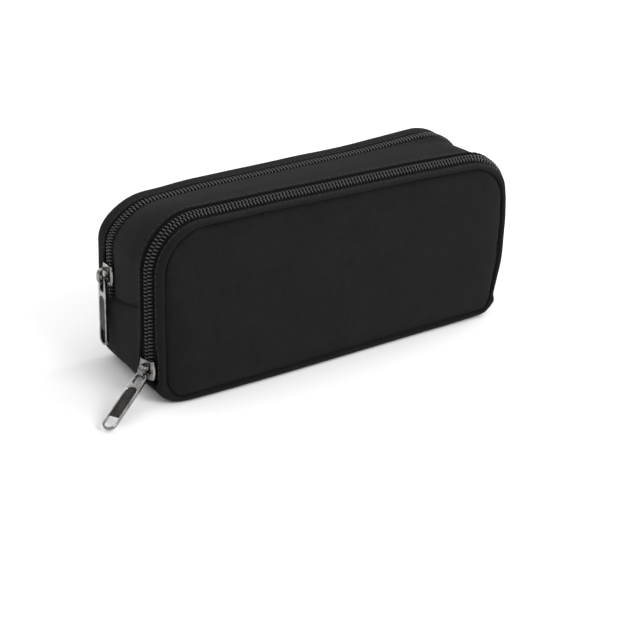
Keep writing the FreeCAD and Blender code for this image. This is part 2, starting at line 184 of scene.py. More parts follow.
def chain_point(chain, across, inward):
    """(depth, y) of a place in a zipper's section, counted from the middle of its chain."""
    c, s = math.cos(chain["tilt"]), math.sin(chain["tilt"])
    return chain["depth"] + inward * c - across * s, chain["y"] + inward * s + across * c


def settle(point):
    """How the soft case departs from its plain outline, as it stands on the table."""
    x, y, z = point
    front = 1.0 - smooth(y, -19, -8)
    middle = smooth(y, -19, -12) * (1 - smooth(y, 6, 14))
    right_end = smooth(x, 84, HALF_LENGTH)

    # The top corner at the right end leans out, and the top sinks towards it.
    leaning = smooth(x + z, 165, 176) * smooth(x, 60, 90)
    droop = smooth(x, 40, 92) * smooth(z, 56, 84)
    x += (2.4 * front + 0.7 * (1 - front)) * leaning
    z -= (0.8 * front + 2.0 * middle - 0.8 * (1 - front) * (1 - middle)) * droop

    # The bottom corner at the right end is drawn in and up.
    z += 0.9 * front * smooth(x, 64, HALF_LENGTH) * (1 - smooth(z, 0, 12))
    drawn_in = 4.4 * (1 - smooth(z, 0, 30))
    bulge = 1.0 * smooth(z, 20, 36) * (1 - smooth(z, 50, 66))
    x -= (drawn_in - bulge) * right_end

    # The foot of the front swells forward at the left end.
    sag = front * (1.0 - smooth(z, 0, 46)) * smooth(x, 92, -72) * smooth(x, -106, -84)
    y -= 3.9 * sag

    # The top slopes down to the back, most of all near the rear slider.
    back = smooth(y, -16, 20)
    high = smooth(z, 58, 84)
    near_slider = math.exp(-((x + 80) / 20) ** 2)
    slope = -3.3 + 0.020 * x - 1.6 * near_slider + 0.00011 * x * x
    z += back * high * slope

    # The ends are pinched in near the table, and the top ripples a little.
    squeeze = smooth(z, 34, 2) * 1.2 * smooth(abs(x), 88, HALF_LENGTH)
    x -= math.copysign(squeeze, x) * smooth(y, -12, 8)
    ripple = noise.noise(Vector((x, y * 1.5, z)) / 34.0)
    away = smooth(abs(x), HALF_LENGTH - 6, HALF_LENGTH - 22)
    z += 0.35 * ripple * high * away
    return x, y, z


def rim_point(along, depth, y):
    """The settled place of a point this far along the loop and this deep inside it."""
    place, out = outline(along)
    return settle((place[0] - out[0] * depth, y, place[1] - out[1] * depth))


# ---------------------------------------------------------------- meshes

def make_object(name, points, faces, material):
    mesh = bpy.data.meshes.new(name)
    mesh.from_pydata([(x * MM, y * MM, z * MM) for x, y, z in points], [], faces)
    mesh.materials.append(material)
    mesh.polygons.foreach_set("use_smooth", [True] * len(mesh.polygons))
    obj = bpy.data.objects.new(name, mesh)
    bpy.context.scene.collection.objects.link(obj)
    fix = bmesh.new()
    fix.from_mesh(mesh)
    bmesh.ops.recalc_face_normals(fix, faces=fix.faces)
    fix.to_mesh(mesh)
    fix.free()
    return obj


def tube_faces(rows, size, cyclic=False):
    """Faces round a row of rings of equal size, with end caps unless the tube closes on itself."""
    faces = []
    for row in range(rows if cyclic else rows - 1):
        after = (row + 1) % rows
        for k in range(size):
            k_next = (k + 1) % size
            faces.append((row * size + k, row * size + k_next,
                          after * size + k_next, after * size + k))
    if not cyclic:
        faces.append(tuple(range(size)))
        faces.append(tuple((rows - 1) * size + k for k in reversed(range(size))))
    return faces


def steps(start, end, size):
    count = max(2, int(round(abs(end - start) / size)))
    return [start + (end - start) * i / count for i in range(count + 1)]


def curve_through(corners, per_corner, closed=False):
    """Catmull-Rom points through a few corners, given as tuples."""
    points = [np.array(c, float) for c in corners]
    count = len(points)
    out = []
    spans = count if closed else count - 1
    for i in range(spans):
        before = points[i - 1] if closed or i > 0 else points[0]
        here, after = points[i], points[(i + 1) % count]
        beyond = points[(i + 2) % count] if closed or i + 2 < count else points[-1]
        for k in range(per_corner):
            t = k / per_corner
            out.append(0.5 * (2 * here + (after - before) * t
                              + (2 * before - 5 * here + 4 * after - beyond) * t ** 2
                              + (3 * here - before - 3 * after + beyond) * t ** 3))
    if not closed:
        out.append(points[-1])
    return out


def rim_strip(name, places, section, material, cyclic=False, skew=None):
    """A closed solid strip: section(along) gives its closed outline as (depth, y) at each place."""
    points = []
    for along in places:
        ring = section(along)
        for depth, y in ring:
            shift = skew(along, y) if skew else 0.0
            points.append(rim_point(along + shift, depth, y))
    return make_object(name, points, tube_faces(len(places), len(ring), cyclic), material)


def apply_modifiers(obj):
    """Make what the modifiers show the object's own mesh."""
    graph = bpy.context.evaluated_depsgraph_get()
    mesh = bpy.data.meshes.new_from_object(obj.evaluated_get(graph))
    obj.modifiers.clear()
    old = obj.data
    obj.data = mesh
    bpy.data.meshes.remove(old)
    return obj


def subdivide(obj):
    """One level of smooth subdivision."""
    modifier = obj.modifiers.new("fine", "SUBSURF")
    modifier.levels = 1
    return apply_modifiers(obj)


def shade(obj):
    """Smooth shading on every face."""
    obj.data.polygons.foreach_set("use_smooth", [True] * len(obj.data.polygons))
    return obj


def inflate(obj, held, cap, pressure=3.0, slack=0.004):
    """Puff a padded piece out with a cloth simulation, held along its sewn edges.

    The movement fades out towards cap, so a pad crowns but keeps to its place.
    """
    rest = np.array([v.co for v in obj.data.vertices])
    group = obj.vertex_groups.new(name="sewn")
    group.add(sorted(held), 1.0, "REPLACE")
    cloth = obj.modifiers.new("pad", "CLOTH")
    cloth.settings.vertex_group_mass = "sewn"
    cloth.settings.quality = 6
    cloth.settings.mass = 0.2
    cloth.settings.tension_stiffness = 12
    cloth.settings.compression_stiffness = 12
    cloth.settings.bending_stiffness = 1.5
    cloth.settings.shrink_min = -slack
    cloth.settings.use_pressure = True
    cloth.settings.uniform_pressure_force = pressure
    cloth.settings.effector_weights.gravity = 0
    scene = bpy.context.scene
    for step in range(1, 21):
        scene.frame_set(step)
    graph = bpy.context.evaluated_depsgraph_get()
    moved = np.array([v.co for v in obj.evaluated_get(graph).data.vertices]) - rest
    obj.modifiers.clear()
    obj.vertex_groups.clear()
    scene.frame_set(1)
    length = np.linalg.norm(moved, axis=1, keepdims=True)
    limit = cap * MM
    scale = np.where(length > 1e-9, limit * np.tanh(length / limit) / np.maximum(length, 1e-9), 0)
    obj.data.vertices.foreach_set("co", (rest + moved * scale).ravel())
    obj.data.update()
    return obj


# ---------------------------------------------------------------- materials

class Nodes:
    """A small helper for writing a node material."""

    def __init__(self, name):
        self.material = bpy.data.materials.new(name)
        self.material.use_nodes = True
        self.tree = self.material.node_tree
        self.shader = self.tree.nodes["Principled BSDF"]
        self.place = self.add("ShaderNodeTexCoord").outputs["Object"]

    def add(self, kind, **settings):
        node = self.tree.nodes.new(kind)
        for key, value in settings.items():
            setattr(node, key, value)
        return node

    def link(self, output, socket):
        self.tree.links.new(output, socket)

    def set(self, **values):
        for key, value in values.items():
            self.shader.inputs[key.replace("_", " ")].default_value = value

    def noise(self, scale, detail=3.0, roughness=0.5):
        node = self.add("ShaderNodeTexNoise")
        self.link(self.place, node.inputs["Vector"])
        node.inputs["Scale"].default_value = scale
        node.inputs["Detail"].default_value = detail
        node.inputs["Roughness"].default_value = roughness
        return node.outputs["Fac"]

    def wave(self, direction, scale):
        node = self.add("ShaderNodeTexWave", wave_type="BANDS", bands_direction=direction)
        self.link(self.place, node.inputs["Vector"])
        node.inputs["Scale"].default_value = scale
        return node.outputs["Fac"]

    def math(self, operation, first, second):
        node = self.add("ShaderNodeMath", operation=operation)
        for socket, value in zip(node.inputs, (first, second)):
            if isinstance(value, (int, float)):
                socket.default_value = value
            else:
                self.link(value, socket)
        return node.outputs[0]

    def ramp(self, value, low, high, low_color, high_color):
        node = self.add("ShaderNodeValToRGB")
        self.link(value, node.inputs["Fac"])
        first, last = node.color_ramp.elements
        first.position, last.position = low, high
        first.color = (*low_color, 1)
        last.color = (*high_color, 1)
        return node.outputs["Color"]

    def weave(self, pitch):
        """Plain weave on any side: two thread directions, picked by which way the face looks."""
        threads = {axis: self.wave(axis, 2 * math.pi / 20 / (pitch * MM)) for axis in "XYZ"}
        split = self.add("ShaderNodeSeparateXYZ")
        normal = self.add("ShaderNodeNewGeometry").outputs["Normal"]
        self.link(normal, split.inputs[0])
        total = None
        for axis, pair in (("X", "YZ"), ("Y", "XZ"), ("Z", "XY")):
            facing = self.math("ABSOLUTE", split.outputs[axis], 0.0)
            both = self.math("MULTIPLY", threads[pair[0]], threads[pair[1]])
            part = self.math("MULTIPLY", facing, both)
            total = part if total is None else self.math("ADD", total, part)
        return total

    def bump(self, height, distance, strength=1.0, below=None):
        node = self.add("ShaderNodeBump")
        self.link(height, node.inputs["Height"])
        node.inputs["Distance"].default_value = distance * MM
        node.inputs["Strength"].default_value = strength
        if below is not None:
            self.link(below, node.inputs["Normal"])
        return node.outputs["Normal"]


def fabric(name, dark, light, pitch, sheen, roughness):
    """Matte woven polyester: thread weave and a soft mottle."""
    made = Nodes(name)
    mottle = made.noise(260.0, 4.0, 0.6)
    cloud = made.noise(38.0, 2.0)
    both = made.math("ADD", made.math("MULTIPLY", mottle, 0.6), made.math("MULTIPLY", cloud, 0.4))
    made.link(made.ramp(both, 0.35, 0.68, dark, light), made.shader.inputs["Base Color"])
    made.set(Roughness=roughness, Sheen_Weight=sheen, Sheen_Roughness=0.45)
    made.set(Specular_IOR_Level=0.12)
    weave = made.weave(pitch)
    grain = made.bump(made.noise(900.0, 2.0), 0.12, 0.6)
    dents = made.bump(made.noise(90.0, 3.0), 0.35, 0.5, grain)
    made.link(made.bump(weave, 0.16, 0.8, dents), made.shader.inputs["Normal"])
    return made.material


def nylon(name):
    """Moulded nylon monofilament with a soft gloss."""
    made = Nodes(name)
    spots = made.noise(600.0, 2.0)
    made.link(made.ramp(spots, 0.3, 0.7, (0.016,) * 3, (0.034,) * 3),
              made.shader.inputs["Base Color"])
    made.set(Roughness=0.42, Specular_IOR_Level=0.5)
    made.link(made.bump(made.noise(1500.0, 2.0), 0.03, 0.5), made.shader.inputs["Normal"])
    return made.material


def metal(name, dark, light, roughness):
    """Plated zinc, a little uneven, with fine scratches."""
    made = Nodes(name)
    patches = made.noise(220.0, 3.0)
    made.link(made.ramp(patches, 0.3, 0.75, dark, light), made.shader.inputs["Base Color"])
    rough = made.add("ShaderNodeMapRange")
    made.link(made.noise(500.0, 4.0, 0.65), rough.inputs["Value"])
    rough.inputs["To Min"].default_value = roughness * 0.75
    rough.inputs["To Max"].default_value = roughness * 1.5
    made.link(rough.outputs["Result"], made.shader.inputs["Roughness"])
    made.set(Metallic=1.0)
    made.link(made.bump(made.noise(1400.0, 3.0), 0.03, 0.35), made.shader.inputs["Normal"])
    return made.material


FABRIC_MATERIAL = fabric("outer_fabric", dark=(0.0074,) * 3, light=(0.0104,) * 3,
                         pitch=0.55, sheen=0.02, roughness=0.88)
LINING_MATERIAL = fabric("lining", dark=(0.026, 0.026, 0.028), light=(0.044, 0.044, 0.047),
                         pitch=0.60, sheen=0.1, roughness=0.62)
TAPE_MATERIAL = fabric("zipper_tape", dark=(0.0032,) * 3, light=(0.0058,) * 3,
                       pitch=0.45, sheen=0.02, roughness=0.85)
THREAD_MATERIAL = fabric("thread", dark=(0.022,) * 3, light=(0.036,) * 3,
                         pitch=0.25, sheen=0.10, roughness=0.6)
COIL_MATERIAL = nylon("zipper_coil")
METAL_MATERIAL = metal("slider_metal", dark=(0.16, 0.156, 0.152), light=(0.34, 0.332, 0.324),
                       roughness=0.14)
PULL_MATERIAL = metal("pull_metal", dark=(0.22, 0.216, 0.212), light=(0.46, 0.45, 0.44),
                      roughness=0.11)
ENAMEL_MATERIAL = metal("pull_recess", dark=(0.030, 0.027, 0.026), light=(0.065, 0.060, 0.057),
                        roughness=0.45)


# ---------------------------------------------------------------- fabric sections

def seam_depth(along):
    """How far inside the outline the front panel's seam runs: more at the ends than on top."""
    out = outline(along)[1]
    under = max(0.0, -out[1])
    return 4.5 + 1.2 * abs(out[0]) - 2.0 * under + 1.6 * under * abs(out[0])


def lowness(along):
    """0 where the zippers run, 1 round the bottom corners and under the base."""
    height = outline(along)[0][1]
    return smooth(height, 11.0, 6.0)


def near_left(along, height, reach):
    """1 at this height on the left end, fading to 0 a little way above and below it."""
    away = (along + LOOP / 2) % LOOP - LOOP / 2 - left_at(height)
    return 1.0 - smooth(abs(away), reach * 0.6, reach)


def fabric_edge(along, chain):
    """How far from the middle of a chain the fabric starts: the slider pushes it aside."""
    slider = near_left(along, chain["slider"], 13.0)
    return 4.1 + 1.0 * slider


def seam_pinch(along):
    """The dip in the fabric on each side of the two cross seams."""
    left = (along + LOOP / 2) % LOOP - LOOP / 2 - left_at(CROSS_SEAM)
    right = along - right_at(CROSS_SEAM)
    nearest = min(abs(left), abs(right))
    return 1.15 * math.exp(-(nearest / 1.5) ** 2)


def cross_rise(y):
    """The cross seam climbs from the rear zipper to the front one, faster as it gets there."""
    return 1.6 + 6.6 * min(max((12 - y) / 28, 0.0), 1.0) ** 1.5


def band_stitch(along):
    """Where the stitching beside the front zipper lies, on the front band."""
    edge = fabric_edge(along, FRONT_CHAIN)
    return chain_point(FRONT_CHAIN, -edge - 0.95, -1.05)


def front_lips(along, side):
    """The folded edge of the fabric beside the front zipper: top, fold and underside."""
    edge = fabric_edge(along, FRONT_CHAIN) * side
    return [chain_point(FRONT_CHAIN, edge + 0.25 * side, -0.75),
            chain_point(FRONT_CHAIN, edge, 0.0),
            chain_point(FRONT_CHAIN, edge + 1.2 * side, 0.95)]


def front_band_section(along):
    """The puffy band between the front panel's seam and the front zipper, or the base."""
    seam = seam_depth(along)
    swell = 0.25 * noise.noise(Vector((along / 21.0, 3.0, 0.0)))
    lip, fold, under = front_lips(along, -1)
    stitch = band_stitch(along)
    upper = [
        (seam + 0.9, FRONT + 2.5),
        (seam + 0.15, FRONT + 1.5),
        (seam - 0.7, FRONT - 0.15 - swell),
        ((seam + stitch[0]) / 2 - 0.8 - swell, (FRONT + stitch[1]) / 2 - 1.0),
        stitch,
        lip,
        fold,
        under,
        (seam + 0.6, FRONT + 2.3),
    ]
    lower = [
        (seam + 0.9, FRONT + 2.5),
        (seam + 0.15, FRONT + 1.5),
        (seam - 0.7, FRONT - 0.2 - swell),
        (0.8, FRONT - 0.25),
        (0.05, FRONT + 0.6),
        (-0.2, FRONT + 1.6),
        (0.3, FRONT + 2.2),
        (1.9, BASE_SEAM),
        (seam + 0.6, BASE_SEAM),
    ]
    low = lowness(along)
    corners = [tuple(a * (1 - low) + b * low for a, b in zip(u, v)) for u, v in zip(upper, lower)]
    return curve_through(corners, 3, closed=True)


def gusset_stitch_front(along):
    edge = fabric_edge(along, FRONT_CHAIN)
    return chain_point(FRONT_CHAIN, edge + 0.95, -0.85)


def gusset_stitch_rear(along):
    return 0.1, REAR_CHAIN["y"] - fabric_edge(along, REAR_CHAIN) - 1.0


def band_stitch_rear(along):
    return 0.0, REAR_CHAIN["y"] + fabric_edge(along, REAR_CHAIN) + 1.0


def gusset_section(along):
    """The mid gusset's pad: tucked under at the front zipper, bulging, and up to the rear one."""
    swell = 0.3 * noise.noise(Vector((along / 26.0, 7.0, 0.0)))
    rear = REAR_CHAIN["y"] - fabric_edge(along, REAR_CHAIN)
    lip, fold, under = front_lips(along, 1)
    pinch = seam_pinch(along)
    corners = [
        under,
        fold,
        lip,
        gusset_stitch_front(along),
        (-0.95 - swell * 0.5 + pinch, -12.5),
        (-1.15 - swell + pinch, -7.0),
        (-1.05 - swell + pinch, -1.0),
        (-0.75 - swell + pinch, 5.0),
        gusset_stitch_rear(along),
        (0.15, rear - 0.35),
        (0.6, rear),
        (1.5, rear - 0.9),
        (2.4, rear - 3.0),
        (2.4, -10.0),
    ]
    return curve_through(corners, 3, closed=True)


def base_section(along):
    """The base gusset's pad, flat under the case and slightly bulging at the ends."""
    low = lowness(along)
    out = outline(along)[1]
    side = abs(out[0])
    pinch = seam_pinch(along)
    swell = side * (0.55 + 0.25 * noise.noise(Vector((along / 24.0, 1.0, 0.0)))) - pinch
    lip, fold, under = front_lips(along, 1)
    stitch = gusset_stitch_front(along)
    front = [under, fold, lip, stitch, (-swell, -12.5)]
    closed = [(2.4, BASE_SEAM + 1.4), (1.4, BASE_SEAM), (0.5, BASE_SEAM + 0.1),
              (0.05, BASE_SEAM + 1.0),
              (-swell * 0.6, -16.0)]
    corners = [tuple(a * (1 - low) + b * low for a, b in zip(u, v)) for u, v in zip(front, closed)]
    corners += [
        (-swell, -6.0),
        (-swell, 3.0),
        (-swell, 12.0),
        (-swell * 0.8, 19.0),
        (-swell * 0.3, BACK - 3.2),
        (0.35, BACK - 0.9),
        (1.2, BACK - 0.3),
        (2.4, BACK - 1.6),
        (2.4, 0.0),
    ]
    return curve_through(corners, 3, closed=True)


def rear_band_section(along):
    """The narrow band behind the rear zipper, which rolls over to the back panel's seam."""
    edge = REAR_CHAIN["y"] + fabric_edge(along, REAR_CHAIN)
    swell = 0.2 * noise.noise(Vector((along / 19.0, 11.0, 0.0)))
    corners = [
        (0.6, edge),
        (0.15, edge + 0.35),
        band_stitch_rear(along),
        (-0.35 - swell, (edge + BACK) / 2),
        (-0.05 - swell, BACK - 1.9),
        (1.1, BACK - 0.1),
        (2.2, BACK + 0.25),
        (3.0, BACK - 0.2),
        (3.2, BACK - 1.2),
        (2.4, BACK - 2.2),
        (1.5, edge + 1.2),
    ]
    return curve_through(corners, 3, closed=True)


def tape_section(chain, side):
    """One half of the zipper's woven tape, under the coil and out under the fabric."""
    def section(along):
        reach = TAPE_REACH * side
        start = 0.15 * side
        return [
            chain_point(chain, start, 0.15),
            chain_point(chain, reach / 2, 0.12),
            chain_point(chain, reach, 0.3),
            chain_point(chain, reach, 0.75),
            chain_point(chain, reach / 2, 0.62),
            chain_point(chain, start, 0.6),
        ]
    return section


def lining_section(low_y, high_y):
    """A thin cloth inside a gusset, with slow wrinkles that die out at its two seams."""
    def section(along):
        wrinkle = 0.3 * noise.noise(Vector((along / 13.0, low_y, 5.0)))
        outer = []
        for across in np.linspace(0, 1, 7):
            y = low_y + (high_y - low_y) * across
            outer.append((GUSSET_LINING_DEPTH + wrinkle * math.sin(math.pi * across), y))
        return outer + [(depth + LINING_THICK, y) for depth, y in reversed(outer)]
    return section


# ---------------------------------------------------------------- upright panels

def panel(name, depth_at, front, thickness, crown, material, step=3.5):
    """An upright panel inside the outline: two faces a thickness apart, joined round the edge.

    Its rows are the heights of the places on the left end of the loop, so its edge follows
    the outline. Front is the y of the outer face at the edge; crown moves its middle out.
    """
    places = steps(-BASE_ARC, 0.0, 1.6)[:-1]
    places += steps(0.0, SIDE_RUN, step)
    places += steps(SIDE_RUN, SIDE_RUN + TOP_ARC, 1.9)[1:]
    rows = []
    for along in places:
        place, out = outline(along)
        depth = depth_at(along)
        rows.append((-(place[0] - out[0] * depth), place[1] - out[1] * depth))
    low, high = rows[0][1], rows[-1][1]
    half = rows[len(rows) // 2][0]
    edge_rows = [fine / half for fine in (0.0, 0.5, 1.1, 2.0)]
    columns = [fine - 1.0 for fine in edge_rows]
    columns += steps(3.5 / half - 1.0, 1.0 - 3.5 / half, step / half)
    columns += [1.0 - fine for fine in reversed(edge_rows)]
    sign = -1.0 if front < 0 else 1.0
    points = []
    for inner in (0, 1):
        for half_row, z in rows:
            for t in columns:
                edge = min(half_row * (1 - abs(t)), z - low, high - z)
                lift = crown * (1 - math.exp(-edge / 1.1))
                waver = 0.25 * noise.noise(Vector((half_row * t / 30.0, front, z / 24.0)))
                lift += waver * smooth(edge, 0, 9)
                y = front + sign * (lift if not inner else -thickness + lift * 0.5)
                points.append(settle((half_row * t, y, z)))
    across = len(columns)
    layer = len(rows) * across
    faces = []
    for inner in (0, 1):
        for r in range(len(rows) - 1):
            for c in range(across - 1):
                a = inner * layer + r * across + c
                faces.append((a, a + 1, a + across + 1, a + across))
    ring = list(range(across))
    ring += [r * across + across - 1 for r in range(1, len(rows))]
    ring += [(len(rows) - 1) * across + c for c in range(across - 2, -1, -1)]
    ring += [r * across for r in range(len(rows) - 2, 0, -1)]
    for a, b in zip(ring, ring[1:] + ring[:1]):
        faces.append((a, b, b + layer, a + layer))
    obj = make_object(name, points, faces, material)
    held = set(ring) | set(range(layer, 2 * layer))
    return obj, held


# ---------------------------------------------------------------- zipper parts

def coil_tooth(chain, side, along):
    """One turn of the coil: a bent oval rib, thicker at its interlocked head."""
    rings = []
    for reach, rise, size in (
        (-0.15, -0.05, 0.30),
        (0.05, -0.62, 0.40),
        (0.50, -1.02, 0.47),
        (1.15, -1.14, 0.47),
        (1.85, -0.98, 0.44),
        (2.30, -0.55, 0.40),
        (2.45, 0.00, 0.34),
    ):
        rings.append((reach * side, rise, along - TOOTH_SLANT * reach * side, size))
    points = []
    sides = 8
    for reach, rise, place, size in rings:
        for k in range(sides):
            angle = 2 * math.pi * k / sides
            inward = rise + size * 0.8 * math.sin(angle)
            depth, y = chain_point(chain, reach, inward)
            points.append(rim_point(place + size * math.cos(angle), depth, y))
    return points, tube_faces(len(rings), sides)


def gather(name, pieces, material):
    """One object out of many small meshes, each given as its points and faces."""
    points, faces = [], []
    for piece_points, piece_faces in pieces:
        base = len(points)
        points += piece_points
        faces += [tuple(base + i for i in face) for face in piece_faces]
    return make_object(name, points, faces, material)


def coil(name, chain, side, low):
    """One half of a zipper's coil: the other half's teeth lie half a pitch further on."""
    start, end = left_at(low) + 0.6, right_at(low) - 0.6
    count = int((end - start) / COIL_PITCH)
    offset = 0.0 if side < 0 else COIL_PITCH / 2
    teeth = [coil_tooth(chain, side, start + offset + i * COIL_PITCH) for i in range(count)]
    return gather(name, teeth, COIL_MATERIAL)


def capsule(first, second, radius, sides=6):
    """A thread-like rod between two points, with rounded ends."""
    first, second = Vector(first), Vector(second)
    run = second - first
    one = run.orthogonal().normalized()
    two = run.normalized().cross(one)
    points = []
    stations = ((0.0, 0.25), (0.06, 0.75), (0.2, 1.0), (0.8, 1.0), (0.94, 0.75), (1.0, 0.25))
    for t, fullness in stations:
        middle = first + run * t
        for k in range(sides):
            angle = 2 * math.pi * k / sides
            offset = (one * math.cos(angle) + two * math.sin(angle)) * radius * fullness
            points.append(tuple(middle + offset))
    return points, tube_faces(len(stations), sides)


def stitching(name, line, low):
    """A row of stitches along the loop, half sunk in the fabric."""
    along, end = left_at(low), right_at(low)
    pieces = []
    while along + STITCH_LENGTH < end:
        depth, y = line(along)
        ends = [rim_point(along + t * STITCH_LENGTH, depth - 0.03, y) for t in (0, 1)]
        pieces.append(capsule(ends[0], ends[1], THREAD_RADIUS))
        along += STITCH_LENGTH + STITCH_GAP
    return gather(name, pieces, THREAD_MATERIAL)


# ---------------------------------------------------------------- sliders and pulls

# These are the sizes of the frame's own sliders and pulls.
PULL_LENGTH = 34.8
PULL_WIDTH = 7.0
PULL_THICK = 1.8
PULL_RIM = 0.9
PULL_LOOP_END = 7.0
PULL_RECESS_TOP = 9.2
PULL_HOLE_RUN = 4.3
PULL_EDGE = 0.4
PANEL_THICK = 1.0
BLADE_HALF_WIDTH = 4.1
PIVOT_OUT = 4.3
PIVOT_DROP = 1.4
FRONT_HEADING = math.radians(31.0)


def slider_frame(chain):
    """The slider's own axes: x into the case, y across the chain, z up, from the chain middle."""
    place = Vector((-HALF_LENGTH + chain["depth"], chain["y"], chain["slider"])) * MM
    return Matrix.Translation(place) @ Matrix.Rotation(chain["tilt"], 4, "Z")


def pull_frame(chain, heading, droop):
    """The pull's own axes: z up its length from the pivot, turned to its heading and droop."""
    pivot = slider_frame(chain) @ Vector((-PIVOT_OUT * MM, 0, -PIVOT_DROP * MM))
    return (Matrix.Translation(pivot) @ Matrix.Rotation(heading, 4, "Z")
            @ Matrix.Rotation(droop, 4, "Y"))


def bevel(obj, width, segments=3, angle=35.0):
    """Round the edges that are sharper than an angle in degrees."""
    modifier = obj.modifiers.new("soft edges", "BEVEL")
    modifier.width = width * MM
    modifier.segments = segments
    modifier.limit_method = "ANGLE"
    modifier.angle_limit = math.radians(angle)
    apply_modifiers(obj)
    return shade(obj)


def stamped(name, outlines, low, high, edge, material):
    """A plate cut to outlines in (y, z): the first is its rim, the others are holes.

    It lies between low and high in x, and its edges are rounded.
    """
    curve = bpy.data.curves.new(name, "CURVE")
    curve.dimensions = "2D"
    curve.fill_mode = "BOTH"
    curve.extrude = ((high - low) / 2 - edge) * MM
    curve.bevel_depth = edge * MM
    curve.bevel_resolution = 3
    curve.offset = -edge * MM
    for corners in outlines:
        spline = curve.splines.new("POLY")
        spline.points.add(len(corners) - 1)
        for point, (a, b) in zip(spline.points, corners):
            point.co = (a * MM, b * MM, 0, 1)
        spline.use_cyclic_u = True
    flat = bpy.data.objects.new(name + "_outline", curve)
    bpy.context.scene.collection.objects.link(flat)
    bpy.context.view_layer.update()
    mesh = bpy.data.meshes.new_from_object(flat.evaluated_get(
        bpy.context.evaluated_depsgraph_get()))
    bpy.data.objects.remove(flat)
    obj = bpy.data.objects.new(name, mesh)
    bpy.context.scene.collection.objects.link(obj)
    upright = Matrix(((0, 0, 1, (low + high) / 2 * MM), (1, 0, 0, 0), (0, 1, 0, 0), (0, 0, 0, 1)))
    mesh.transform(upright)
    mesh.materials.clear()
    mesh.materials.append(material)
    fix = bmesh.new()
    fix.from_mesh(mesh)
    bmesh.ops.remove_doubles(fix, verts=fix.verts, dist=0.00001)
    bmesh.ops.recalc_face_normals(fix, faces=fix.faces)
    fix.to_mesh(mesh)
    fix.free()
    return obj


def join(name, objects):
    """One object out of several, keeping their materials."""
    first = objects[0]
    with bpy.context.temp_override(active_object=first, selected_editable_objects=objects):
        bpy.ops.object.join()
    first.name = name
    return first


def arc_points(middle, radius, start, end, count):
    """Points along an arc, its angles in degrees."""
    angles = np.radians(np.linspace(start, end, count))
    return [(middle[0] + radius * math.cos(a), middle[1] + radius * math.sin(a)) for a in angles]


def slot_outline(half_width, low, high, corner, count=6):
    """A rectangle with round corners, as (y, z) points."""
    return (arc_points((half_width - corner, high - corner), corner, 0, 90, count)
            + arc_points((-half_width + corner, high - corner), corner, 90, 180, count)
            + arc_points((-half_width + corner, low + corner), corner, 180, 270, count)
            + arc_points((half_width - corner, low + corner), corner, 270, 360, count))


def channel(name, material):
    """The slider's outer blade with its side flanges: a bent channel with a notch at its mouth."""
    stations = np.linspace(0, 1, 15)
    points = []
    for t in stations:
        broad = BLADE_HALF_WIDTH + 0.7 * math.sin(math.pi * min(t * 1.05 + 0.08, 1.0)) ** 0.7
        dome = 0.35 * math.sin(math.pi * t)
        profile = [(-broad, -0.2), (-broad, -1.5), (-broad + 0.25, -2.05), (-broad + 0.8, -2.3),
                   (-1.6, -2.4 - dome), (0.0, -2.45 - dome), (1.6, -2.4 - dome),
                   (broad - 0.8, -2.3), (broad - 0.25, -2.05), (broad, -1.5), (broad, -0.2),
                   (broad - 0.9, -0.2), (broad - 1.1, -1.25), (0.0, -1.3), (-broad + 1.1, -1.25),
                   (-broad + 0.9, -0.2)]
        for across, out in profile:
            mouth = -5.0 + 1.5 * math.exp(-(across / 1.1) ** 2) + 0.5 * (across / 4.0) ** 4
            nose = 4.3 + 0.7 * min(abs(across) / 3.5, 1.0) ** 2
            points.append((out, across, mouth + (nose - mouth) * t))
    faces = tube_faces(len(stations), len(profile))
    return bevel(make_object(name, points, faces, material), 0.18, 2, 50)


def slider_body(name, chain):
    """The two blades, and the post between them at the slider's mouth."""
    outer = channel(name, METAL_MATERIAL)
    blade = slot_outline(BLADE_HALF_WIDTH, -4.6, 4.4, 1.8)
    inner = stamped(name + "_inner", [blade], 1.1, 2.1, 0.25, METAL_MATERIAL)
    post = stamped(name + "_post", [slot_outline(0.5, -4.3, -1.6, 0.45)], -1.5, 1.3, 0.05,
                   METAL_MATERIAL)
    cap = stamped(name + "_cap", [slot_outline(1.5, 0.1, 2.3, 0.5)], -3.5, -2.2, 0.35,
                  PULL_MATERIAL)
    body = join(name, [outer, inner, post, cap])
    body.data.transform(slider_frame(chain))
    return body


def slider_bridge(name, chain):
    """The bridge: a broad polished arch whose two feet stand on the outer blade."""
    path = curve_through([(-2.0, -4.05), (-4.3, -4.1), (-5.8, -3.5), (-6.4, -2.2), (-6.5, -0.5),
                          (-6.4, 1.2), (-5.8, 2.5), (-4.3, 3.1), (-2.0, 3.05)], 5)
    points = []
    last = len(path) - 1
    for i, (x, z) in enumerate(path):
        before, after = path[max(i - 1, 0)], path[min(i + 1, last)]
        run = np.array(after) - np.array(before)
        run = run / np.linalg.norm(run)
        out = (-run[1], run[0])
        wide = 1.05 + 0.45 * math.sin(math.pi * i / last) ** 2
        thick = 0.52
        section = [(-wide, -0.6), (-wide, 0.6), (-wide * 0.8, 1.0), (0, 1.15), (wide * 0.8, 1.0),
                   (wide, 0.6), (wide, -0.6), (wide * 0.8, -1.0), (-wide * 0.8, -1.0)]
        for across, up in section:
            points.append((x + out[0] * up * thick, across, z + out[1] * up * thick))
    faces = tube_faces(len(path), len(section))
    arch = bevel(make_object(name, points, faces, METAL_MATERIAL), 0.15, 2)
    arch.data.transform(slider_frame(chain))
    return arch


